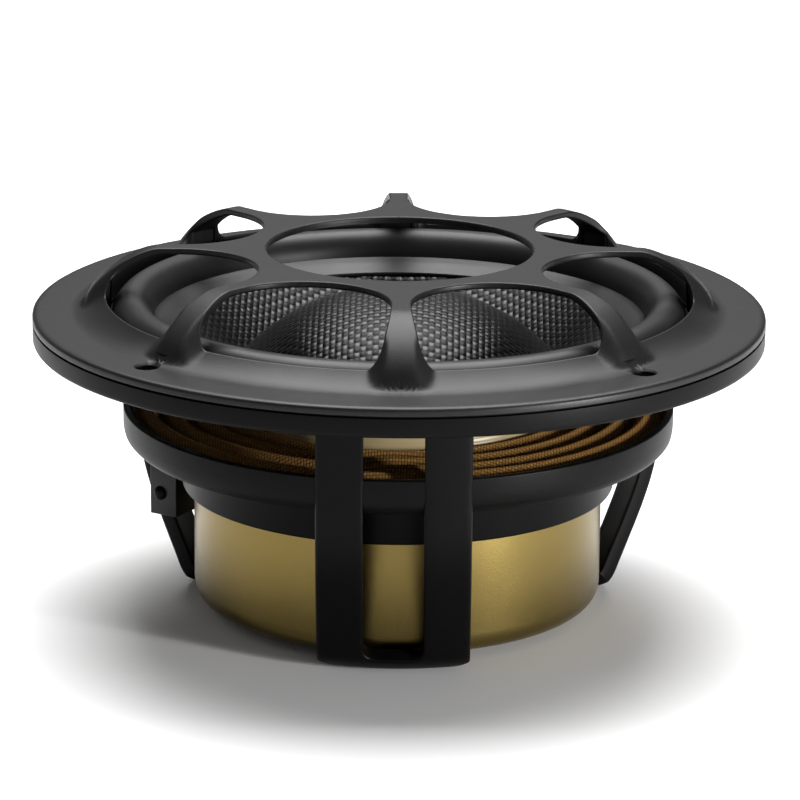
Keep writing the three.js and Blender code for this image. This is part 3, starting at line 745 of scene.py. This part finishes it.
def fill_cap(work):
    steps, turns = 110, 640
    angle = math.asin(cap_radius / cap_sphere)
    centre = cap_bottom + cap_rise - cap_sphere
    section = []
    for k in range(steps):
        turn = angle * (1 - k / steps)
        section.append((cap_sphere * math.sin(turn), centre + cap_sphere * math.cos(turn)))
    inside = []
    for k in range(12):
        turn = angle * (k + 1) / 12
        small = cap_sphere - cone_wall
        inside.append((small * math.sin(turn), centre + small * math.cos(turn)))
    add_turned(work, section, turns, closed=False)
    add_turned(work, inside, 96, closed=False)
    for (r, z), rise in ((section[-1], cap_sphere), (inside[0], cap_sphere - cone_wall)):
        ring = [v for v in work.verts
                if abs(v.co.xy.length - r) < 1e-5 and abs(v.co.z - z) < 1e-5]
        ring.sort(key=lambda v: math.atan2(v.co.y, v.co.x))
        apex = work.verts.new((0, 0, centre + rise))
        for a, b in zip(ring, ring[1:] + ring[:1]):
            work.faces.new([a, b, apex])
    edges = [e for e in work.edges if len(e.link_faces) == 1]
    bmesh.ops.bridge_loops(work, edges=edges)


cap = piece("woven_dust_cap", fill_cap)
weave(cap)
body(cap, "cone_body", ["dust_cap"])

# %% [markdown]
# The surround is a moulded half roll of rubber. Its outer edge is clamped in the flange, and its
# inner lip is glued on the cone. When the cone moves, the roll's inner side goes with it and the
# outer side stays, so each point gets a share that depends on its distance from the axis.

# %% Working out each point's share between the two bodies
def share_by(obj, share):
    """Bakes obj's placement into its mesh and works out share(point) for each point, 0 on the frame
    and 1 on the cone; the shares are not applied.
    """
    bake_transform(obj)
    values = [share(v.co / mm) for v in obj.data.vertices]


def radial_share(outer, inner):
    def share(point):
        t = (outer - point.xy.length) / (outer - inner)
        t = min(1, max(0, t))
        return t * t * (3 - 2 * t)

    return share


# %% Surround
clamp_bottom = flange_top - 1.1
roll_width = 9.7
clamp_width = 3.8
roll_inner = roll_outer - roll_width
clamp_outer = roll_outer + clamp_width
roll_height = 6.7
rubber = 1.0
lip_inner = 50.4


def surround_section():
    middle = (roll_outer + roll_inner) / 2
    half = (roll_outer - roll_inner) / 2
    base = clamp_bottom + rubber / 2
    top = [(clamp_outer, clamp_bottom), (clamp_outer, clamp_bottom + rubber),
           (roll_outer + 0.6, clamp_bottom + rubber)]
    for k in range(1, 32):
        turn = math.pi * k / 32
        top.append((middle + half * math.cos(turn), base + roll_height * math.sin(turn) ** 0.92))
    lip_top = clamp_bottom + rubber + 0.1
    top += [(roll_inner - 0.2, lip_top + 0.25), (roll_inner - 0.8, lip_top - 0.15)]
    for k in range(1, 10):
        t = k / 9
        r = roll_inner - 0.8 + (lip_inner - roll_inner + 0.8) * t
        top.append((r, lip_top - 0.15 - 2.05 * t))
    top += [(lip_inner - 0.12, lip_top - 2.5), (lip_inner, lip_top - 2.95)]
    top.append((roll_inner, lip_top - 0.85))
    for k in range(31, 0, -1):
        turn = math.pi * k / 32
        r = middle + (half - rubber) * math.cos(turn)
        top.append((r, base + (roll_height - rubber) * math.sin(turn)))
    top.append((roll_outer - rubber, clamp_bottom))
    return top


surround = turned("rubber_surround", surround_section(), turns=288)
share_by(surround, radial_share(roll_outer, roll_inner))
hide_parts("surround")
print("surround from", lip_inner, "to", clamp_outer, "mm")

# %% [markdown]
# The spider is a disc of open-woven cloth, dipped in resin and pressed into rings. It holds the
# coil in the middle of its gap.

# %% Spider
spider_mid = ledge_top + 0.35
spider_pitch = 5.5
spider_outer = high("spider").x
spider_wave = 1.15
spider_crest = 57.0
spider_flat = 60.1
cloth_half = 0.22


def spider_height(r):
    """Height of the cloth's middle: waves that fade out at the ledge and at the former."""
    wave = math.cos(2 * math.pi * (r - spider_crest) / spider_pitch)
    at_ledge = min(1, max(0, (spider_flat - r) / 1.7))
    at_former = min(1, max(0, (r - former_radius - 0.3) / 1.2))
    return spider_mid + spider_wave * wave * (at_ledge * at_former)


def spider_section():
    inner = former_radius + 0.05
    steps = 90
    radii = [inner + (spider_outer - inner) * k / steps for k in range(steps + 1)]
    top = [(r, spider_height(r) + cloth_half) for r in radii]
    return top + [(r, spider_height(r) - cloth_half) for r in reversed(radii)]


spider = turned("woven_spider", spider_section(), turns=288)
share_by(spider, radial_share(57.5, 39.5))
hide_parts("spider")
print("spider from", round(former_radius, 1), "to", round(spider_outer, 1), "mm")

# %% [markdown]
# On the left pair of legs, a small board clips round the front leg and is held by a rivet. Two
# blades stand on its inner side, between the legs, and a braided lead runs from each blade up past
# the damper ring and in to the coil.

# %% Terminal board
pair_turn = math.radians(-120)
board_drop = 11.6
board_reach = 9.5
board_height = 12.0
board_bottom = ring_bottom - board_drop - board_height
board_front = cup_radius + board_reach
board_depth = 7.3
board_wall = 1.4
leg_outer_side = leg_out + fit
leg_inner_side = leg_in - fit


def fill_board(work):
    front, back = -board_front, -board_front + board_depth
    outer, inner = leg_outer_side + board_wall, leg_inner_side - board_wall
    corners = [(outer, front), (outer, back), (inner, back), (inner, front),
               (leg_inner_side, front), (leg_inner_side, back - board_wall),
               (leg_outer_side, back - board_wall), (leg_outer_side, front)]
    face = work.faces.new([work.verts.new((x, y, board_bottom)) for x, y in corners])
    grown = bmesh.ops.extrude_face_region(work, geom=[face])
    tops = [v for v in grown["geom"] if isinstance(v, bmesh.types.BMVert)]
    bmesh.ops.translate(work, vec=(0, 0, board_height), verts=tops)
    bmesh.ops.bevel(work, geom=list(work.edges), offset=0.25, segments=3, profile=0.5,
                    affect="EDGES")
    bmesh.ops.rotate(work, matrix=Matrix.Rotation(pair_turn, 3, "Z"), verts=work.verts)


board = piece("terminal_clip", fill_board)
body(board, stands_for=["terminal_board"])

# %% Rivet
rivet_height = board_bottom + board_height * 0.45
rivet_place = -board_front + board_depth * 0.4


def fill_rivet(work):
    shank, head, face, rise = 1.0, 1.7, 0.1, 0.95
    section = [(1e-4, -2.0), (shank, -2.0), (shank, face), (head, face)]
    for k in range(8):
        turn = math.pi / 2 * k / 8
        section.append((head * math.cos(turn), face + rise * math.sin(turn)))
    section.append((1e-4, face + rise))
    add_turned(work, section, 32)
    bmesh.ops.rotate(work, matrix=Matrix.Rotation(math.pi / 2, 3, "Y"), verts=work.verts)
    place = (leg_outer_side + board_wall, rivet_place, rivet_height)
    bmesh.ops.translate(work, vec=place, verts=work.verts)
    bmesh.ops.rotate(work, matrix=Matrix.Rotation(pair_turn, 3, "Z"), verts=work.verts)


rivet = piece("terminal_rivet_head", fill_rivet)
body(rivet, stands_for=["terminal_rivet"])

# %% Leads
def curve_through(points, steps):
    """Points of a smooth curve that passes through each given point."""
    result = []
    ends = [points[0] * 2 - points[1]] + points + [points[-1] * 2 - points[-2]]
    for k in range(1, len(ends) - 2):
        a, b, c, d = ends[k - 1:k + 3]
        for step in range(steps):
            t = step / steps
            result.append(0.5 * (2 * b + (c - a) * t + (2 * a - 5 * b + 4 * c - d) * t * t
                                 + (3 * b - a - 3 * c + d) * t ** 3))
    result.append(points[-1])
    return result


def fill_tube(line, radius, sides=14):
    def fill(work):
        side = Vector((1, 0, 0))
        rings = []
        for k, place in enumerate(line):
            ahead = (line[min(k + 1, len(line) - 1)] - line[max(k - 1, 0)]).normalized()
            side = (side - ahead * side.dot(ahead)).normalized()
            up = ahead.cross(side)
            turns = [2 * math.pi * s / sides for s in range(sides)]
            offs = [(side * math.cos(t) + up * math.sin(t)) * radius for t in turns]
            rings.append([work.verts.new(place + off) for off in offs])
        for a, b in zip(rings, rings[1:]):
            for s in range(sides):
                work.faces.new([a[s], a[(s + 1) % sides], b[(s + 1) % sides], b[s]])
        work.faces.new(rings[0])
        work.faces.new(rings[-1])
        bmesh.ops.rotate(work, matrix=Matrix.Rotation(pair_turn, 3, "Z"), verts=work.verts)

    return fill


lead_radius = 0.75


def lead_line(side, blade_width, blade_height):
    x = side * 2.6
    start = -board_front + (board_depth - blade_width) / 2 - lead_radius - 0.3
    outside = ring_radius + lead_radius + 0.95
    over = ring_top + lead_radius + 2.65
    landing = former_radius + lead_radius + 0.1
    route = [
        Vector((x, start, blade_height + 0.4)),
        Vector((x, -outside + 1.0, (blade_height + ring_bottom) / 2 + 3.0)),
        Vector((x, -outside, ring_bottom + 2.0)),
        Vector((x, -outside, ring_top - 0.8)),
        Vector((x, -ring_radius + 2.5, over)),
        Vector((x, -(ring_radius + landing) / 2, over - 0.2)),
        Vector((x, -landing - 4.0, over + 0.6)),
        Vector((x, -landing, over + 2.2)),
    ]
    return curve_through(route, 12)


blades = (("positive", 1, 5.5, board_bottom + 7.0), ("negative", -1, 2.8, board_bottom + 1.0))
for name, side, width, height in blades:
    lead = piece("braided_lead_" + name, fill_tube(lead_line(side, width, height), lead_radius))
    share_by(lead, radial_share(60.0, 40.5))
    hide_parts("lead_" + name)

# %% [markdown]
# Three flat-headed screws hold the hub to the pot's floor. Each has a hexagonal socket, made by
# sinking the middle of the head.

# %% Hub screws
def fill_screw(turn):
    def fill(work):
        sides = 48
        head, shank = 2.5, 1.3
        loops = []
        for k in range(sides):
            angle = 2 * math.pi * k / sides
            sector = (angle + math.pi / 6) % (math.pi / 3) - math.pi / 6
            hexagon = 1.15 / math.cos(sector)
            profile = [(1e-4, 1.1), (hexagon, 1.1), (hexagon, 0.12), (head - 0.1, 0.1),
                       (head, 0.2), (shank, 1.35), (shank, 6.4), (1e-4, 6.4)]
            x, y = math.cos(angle), math.sin(angle)
            loops.append([work.verts.new((r * x, r * y, z)) for r, z in profile])
        for a, b in zip(loops, loops[1:] + loops[:1]):
            for k in range(len(a) - 1):
                work.faces.new([a[k], a[k + 1], b[k + 1], b[k]])
        bmesh.ops.translate(work, vec=around(hub_screw_circle, 0, turn), verts=work.verts)

    return fill


for k, turn in enumerate(hub_turns):
    screw = piece(f"hub_socket_screw_{k + 1}", fill_screw(turn))
    body(screw, stands_for=[f"hub_screw_{k + 1}"])

# %% [markdown]
# Every finish starts from the same fine grain: one noise for the coat's own tooth and a broader one
# for patches of wear and handling. It is a node group, so that each material can place it with its
# own scale and strength.

# %% Grain group
def new_group(name, inputs, outputs):
    group = bpy.data.node_groups.new(name, "ShaderNodeTree")
    for label, value in inputs:
        socket = group.interface.new_socket(label, in_out="INPUT", socket_type="NodeSocketFloat")
        socket.default_value = value
    for label in outputs:
        group.interface.new_socket(label, in_out="OUTPUT", socket_type="NodeSocketFloat")
    return group, group.nodes.new("NodeGroupInput"), group.nodes.new("NodeGroupOutput")


def maths(nodes, operation, a, b=0.0):
    """A Math node fed by sockets or plain numbers; returns its output."""
    node = nodes.nodes.new("ShaderNodeMath")
    node.operation = operation
    for socket, value in zip(node.inputs, (a, b)):
        if isinstance(value, (int, float)):
            socket.default_value = value
        else:
            nodes.links.new(value, socket)
    return node.outputs[0]


def set_inputs(node, values):
    for label, value in values.items():
        node.inputs[label].default_value = value


def mixed(tree, factor, a, b):
    """The colour between a and b at a factor given by a socket."""
    mix = tree.nodes.new("ShaderNodeMix")
    mix.data_type = "RGBA"
    set_inputs(mix, {"A": (*a, 1), "B": (*b, 1)})
    tree.links.new(factor, mix.inputs["Factor"])
    return mix.outputs["Result"]


def relieve(tree, height, strength, distance):
    """Bump on the tree's Principled shader, in place of any bump that it has."""
    relief = tree.nodes.new("ShaderNodeBump")
    set_inputs(relief, {"Strength": strength, "Distance": distance})
    tree.links.new(height, relief.inputs["Height"])
    tree.links.new(relief.outputs["Normal"], tree.nodes["Principled BSDF"].inputs["Normal"])


def new_material(name, pattern):
    """A material with the pattern's node group in it: the material, its shader and the group."""
    material = bpy.data.materials.new(name)
    material.use_nodes = True
    group = material.node_tree.nodes.new("ShaderNodeGroup")
    group.node_tree = pattern
    return material, material.node_tree.nodes["Principled BSDF"], group


def object_place(nodes):
    return nodes.nodes.new("ShaderNodeTexCoord").outputs["Object"]


def noise(nodes, scale, detail, place):
    node = nodes.nodes.new("ShaderNodeTexNoise")
    node.inputs["Detail"].default_value = detail
    if isinstance(scale, (int, float)):
        node.inputs["Scale"].default_value = scale
    else:
        nodes.links.new(scale, node.inputs["Scale"])
    nodes.links.new(place, node.inputs["Vector"])
    return node.outputs["Fac"]


grain_sizes = [("Grain Scale", 2500.0), ("Patch Scale", 60.0)]
grain, grain_in, grain_out = new_group("coat_grain", grain_sizes, ["Height", "Patches"])
place = object_place(grain)
tooth = noise(grain, grain_in.outputs["Grain Scale"], 3.0, place)
patches = noise(grain, grain_in.outputs["Patch Scale"], 4.0, place)
grain.links.new(tooth, grain_out.inputs["Height"])
grain.links.new(patches, grain_out.inputs["Patches"])
print("grain group ready")

# %% A finish made from the grain
def finish(name, dark, light, rough, metal=0.0, grain_scale=2500.0, patch_scale=60.0,
           bump=0.15, depth=0.00003, specular=0.5):
    """A Principled finish whose colour and roughness drift over the patches."""
    material, shader, group = new_material(name, grain)
    tree = material.node_tree
    set_inputs(group, {"Grain Scale": grain_scale, "Patch Scale": patch_scale})
    colour = mixed(tree, group.outputs["Patches"], dark, light)
    tree.links.new(colour, shader.inputs["Base Color"])
    spread = maths(tree, "MULTIPLY", group.outputs["Patches"], 0.12)
    tree.links.new(maths(tree, "ADD", spread, rough - 0.06), shader.inputs["Roughness"])
    set_inputs(shader, {"Metallic": metal, "Specular IOR Level": specular})
    relieve(tree, group.outputs["Height"], bump, depth)
    return material


satin_black = finish("satin_black", (0.0034, 0.0031, 0.0032), (0.0050, 0.0045, 0.0047), 0.42,
                     bump=0.5, depth=0.00006, specular=0.28)
cast_black = finish("cast_black", (0.0012, 0.0011, 0.0011), (0.0020, 0.0018, 0.0019), 0.42,
                    bump=0.45, grain_scale=1800.0, depth=0.00006, specular=0.08)
black_steel = finish("black_steel", (0.0010, 0.0009, 0.0010), (0.0016, 0.0015, 0.0016), 0.36,
                     specular=0.06)
gasket_black = finish("gasket_black", (0.002, 0.002, 0.002), (0.004, 0.004, 0.004), 0.8,
                      specular=0.1)
gold_plate = finish("gold_plate", (0.15, 0.110, 0.034), (0.185, 0.136, 0.045), 0.31, metal=1.0,
                    grain_scale=3200.0, bump=0.6, depth=0.00005)
nickel_plate = finish("nickel_plate", (0.30, 0.31, 0.32), (0.42, 0.42, 0.43), 0.35, metal=1.0)
zinc_plate = finish("zinc_plate", (0.46, 0.47, 0.49), (0.60, 0.60, 0.61), 0.33, metal=1.0)
copper = finish("copper", (0.60, 0.27, 0.13), (0.72, 0.36, 0.19), 0.32, metal=1.0)
tinned_brass = finish("tinned_brass", (0.55, 0.44, 0.22), (0.70, 0.58, 0.32), 0.35, metal=1.0)
board_black = finish("board_black", (0.006, 0.006, 0.006), (0.010, 0.010, 0.011), 0.45,
                     bump=0.3, specular=0.3)
braid_copper = finish("braid_copper", (0.42, 0.22, 0.12), (0.66, 0.40, 0.24), 0.45, metal=0.9,
                      grain_scale=1400.0, patch_scale=900.0, bump=0.9, depth=0.0002)
rubber_black = finish("rubber_black", (0.006, 0.006, 0.006), (0.010, 0.010, 0.010), 0.42,
                      bump=0.25, patch_scale=90.0, specular=0.3)
print("plain finishes ready")

# %% [markdown]
# Woven pieces need the weave in their colour too. The pattern group below splits the plane into
# squares, as the relief does, and gives the share of each square that the tow on top covers, the
# fine fibres that run along it, and which tows run one way, for a painted sheen on those tows.

# %% Weave group
weave_group, weave_in, weave_out = new_group("plain_weave", [("Tow Width", 0.0013)],
                                             ["Pad", "Fibre", "Lit Tow"])


def tow(operation, a, b=0.0):
    return maths(weave_group, operation, a, b)


split = weave_group.nodes.new("ShaderNodeSeparateXYZ")
weave_group.links.new(object_place(weave_group), split.inputs[0])


def square(axis):
    """Which square a point is in along one axis, and where it is inside, from -0.5 to 0.5."""
    scaled = tow("DIVIDE", split.outputs[axis], weave_in.outputs["Tow Width"])
    index = tow("FLOOR", scaled)
    inside = tow("SUBTRACT", tow("SUBTRACT", scaled, index), 0.5)
    return index, inside


column, across_x = square("X")
row, across_y = square("Y")
parity = tow("PINGPONG", tow("ADD", column, row), 1.0)


def blend_values(first, second):
    """first where the parity is 0 and second where it is 1."""
    part = tow("MULTIPLY", tow("SUBTRACT", second, first), parity)
    return tow("ADD", first, part)


across_tow = blend_values(across_y, across_x)
along_tow = blend_values(across_x, across_y)
edge_near = tow("MULTIPLY", tow("ABSOLUTE", across_tow), 2.0)
end_near = tow("MULTIPLY", tow("ABSOLUTE", along_tow), 2.0)
side_fall = tow("SUBTRACT", 1.0, tow("POWER", edge_near, 3.0))
end_fall = tow("SUBTRACT", 1.0, tow("POWER", end_near, 4.0))
weave_group.links.new(tow("MULTIPLY", side_fall, end_fall), weave_out.inputs["Pad"])
fibre_wave = tow("SINE", tow("MULTIPLY", across_tow, 44.0))
fibres = tow("ADD", tow("MULTIPLY", fibre_wave, 0.5), 0.5)
weave_group.links.new(fibres, weave_out.inputs["Fibre"])
# Lit Tow marks the tows that run one way, which get the painted sheen.
weave_group.links.new(tow("SUBTRACT", 1.0, parity), weave_out.inputs["Lit Tow"])
print("weave group ready")

# %% Woven finishes
def woven(name, gap, thread, rough, tow_width, bump, depth, shaded_tow_share, metal=0.0):
    """The tows that run the other way keep only a share of the thread's colour: painted shade, so
    that the tows that run one way carry a painted sheen.
    """
    material, shader, group = new_material(name, weave_group)
    tree = material.node_tree
    set_inputs(group, {"Tow Width": tow_width})
    # Tows that run one way keep the thread's colour and the others are darkened: painted sheen on
    # the first, painted shade on the second.
    painted_tow_sheen = maths(tree, "ADD", maths(tree, "MULTIPLY", group.outputs["Lit Tow"], 1 - shaded_tow_share), shaded_tow_share)
    covered = maths(tree, "MULTIPLY", group.outputs["Pad"], painted_tow_sheen)
    tree.links.new(mixed(tree, covered, gap, thread), shader.inputs["Base Color"])
    set_inputs(shader, {"Roughness": rough, "Metallic": metal, "Specular IOR Level": 0.2})
    fibres = maths(tree, "MULTIPLY", group.outputs["Fibre"], 0.12)
    relieve(tree, maths(tree, "ADD", group.outputs["Pad"], fibres), bump, depth)
    return material


# Both weaves paint the tows that run the other way darker, nearly black in the carbon: painted
# shade beside a painted sheen.
carbon = woven("carbon_weave", (0.001, 0.001, 0.001), (0.036, 0.035, 0.0365), 0.30,
               tow_width=0.0014, bump=0.4, depth=0.00008, shaded_tow_share=0.12, metal=0.8)
spider_cloth = woven("spider_cloth", (0.07, 0.034, 0.009), (0.38, 0.195, 0.050), 0.85,
                     tow_width=0.00067, bump=0.9, depth=0.00012, shaded_tow_share=0.75)
print("woven finishes ready")

# %% [markdown]
# The glass former is wound from tape, so fine level lines run round it. They come from its height
# alone, as a plain wave.

# %% Former finish
def former_finish():
    material = finish("glass_cloth", (0.26, 0.20, 0.09), (0.40, 0.32, 0.18), 0.38,
                      patch_scale=140.0)
    tree = material.node_tree
    parts = tree.nodes.new("ShaderNodeSeparateXYZ")
    tree.links.new(object_place(tree), parts.inputs[0])
    lines = maths(tree, "SINE", maths(tree, "MULTIPLY", parts.outputs["Z"], 6800.0))
    relieve(tree, lines, 0.5, 0.00006)
    return material


glass_cloth = former_finish()

# %% Put the finishes on
finishes = {
    "grille_moulding": satin_black,
    "rim_gasket": gasket_black,
    "basket_flange": cast_black,
    "basket_damper_ring": cast_black,
    "basket_legs_front": cast_black,
    "basket_legs_right": cast_black,
    "basket_legs_left": cast_black,
    "basket_hub": cast_black,
    "motor_pot": gold_plate,
    "motor_carrier_ring": black_steel,
    "glass_former": glass_cloth,
    "woven_cone": carbon,
    "woven_dust_cap": carbon,
    "rubber_surround": rubber_black,
    "woven_spider": spider_cloth,
    "terminal_clip": board_black,
    "terminal_rivet_head": black_steel,
    "braided_lead_positive": braid_copper,
    "braided_lead_negative": braid_copper,
    "magnet": nickel_plate,
    "pole_plate": zinc_plate,
    "shorting_ring": copper,
    "voice_coil": copper,
    "vent_screen": black_steel,
    "terminal_positive": tinned_brass,
    "terminal_negative": tinned_brass,
}
for name, material in finishes.items():
    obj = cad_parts.get(name) or bpy.data.objects[name]
    obj.data.materials.clear()
    obj.data.materials.append(material)
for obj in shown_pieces():
    if "screw" in obj.name:
        obj.data.materials.clear()
        obj.data.materials.append(zinc_plate)

# %% [markdown]
# The driver stands on a pale floor that runs on behind it. A wide soft light above and a weak one
# behind give the coated rim its long pale sheen, and a narrow one low at the right draws the bright
# band down the motor pot.

# %% Floor and lights
floor_mesh = bpy.data.meshes.new("floor")
floor_mesh.from_pydata([(-4, -3, 0), (4, -3, 0), (4, 6, 0), (-4, 6, 0)], [], [(0, 1, 2, 3)])
floor = bpy.data.objects.new("floor", floor_mesh)
bpy.context.scene.collection.objects.link(floor)
paper = bpy.data.materials.new("floor_paper")
paper.use_nodes = True
set_inputs(paper.node_tree.nodes["Principled BSDF"],
           {"Base Color": (0.93, 0.93, 0.93, 1), "Roughness": 0.9})
floor_mesh.materials.append(paper)


def softbox(name, place, aim, size, power):
    light = bpy.data.lights.new(name, "AREA")
    light.shape = "RECTANGLE"
    light.size, light.size_y = size
    light.energy = power
    obj = bpy.data.objects.new(name, light)
    obj.location = place
    obj.rotation_euler = (Vector(aim) - Vector(place)).to_track_quat("-Z", "Y").to_euler()
    bpy.context.scene.collection.objects.link(obj)


middle = (0, 0, 0.04)
softbox("overhead_softbox", (0.0, 0.40, 1.3), middle, (1.2, 1.1), 42)
softbox("back_softbox", (0.0, 1.7, 0.75), middle, (0.8, 0.5), 0.9)
softbox("right_key", (0.75, -0.55, 0.14), middle, (0.08, 0.24), 11)

world = bpy.data.worlds.new("studio")
bpy.context.scene.world = world
world.use_nodes = True
set_inputs(world.node_tree.nodes["Background"], {"Color": (0.9, 0.9, 0.9, 1), "Strength": 0.2})

# %% Camera
camera_distance = 0.900
camera_rise = math.radians(14.66)
rim_centre = Vector((0, 0, 0.071))
camera_data = bpy.data.cameras.new("camera")
camera = bpy.data.objects.new("camera", camera_data)
bpy.context.scene.collection.objects.link(camera)
bpy.context.scene.camera = camera
camera_turn = math.radians(0.75)
straight_out = Vector((0, -math.cos(camera_rise), math.sin(camera_rise)))
way_out = Matrix.Rotation(camera_turn, 3, "Z") @ straight_out
camera.location = rim_centre + way_out * camera_distance
camera_data.lens = 176.9
camera_data.sensor_width = 36
camera_data.shift_x = 0.002
aim_below_centre = math.radians(1.36)
tilt = math.radians(90) - camera_rise - aim_below_centre
roll = math.radians(0.5)
camera.rotation_euler = (Matrix.Rotation(camera_turn, 4, "Z") @ Matrix.Rotation(tilt, 4, "X")
                         @ Matrix.Rotation(roll, 4, "Z")).to_euler()
camera_data.clip_end = 20
bpy.context.scene.view_settings.view_transform = "Standard"
print("camera at", tuple(round(v, 3) for v in camera.location))
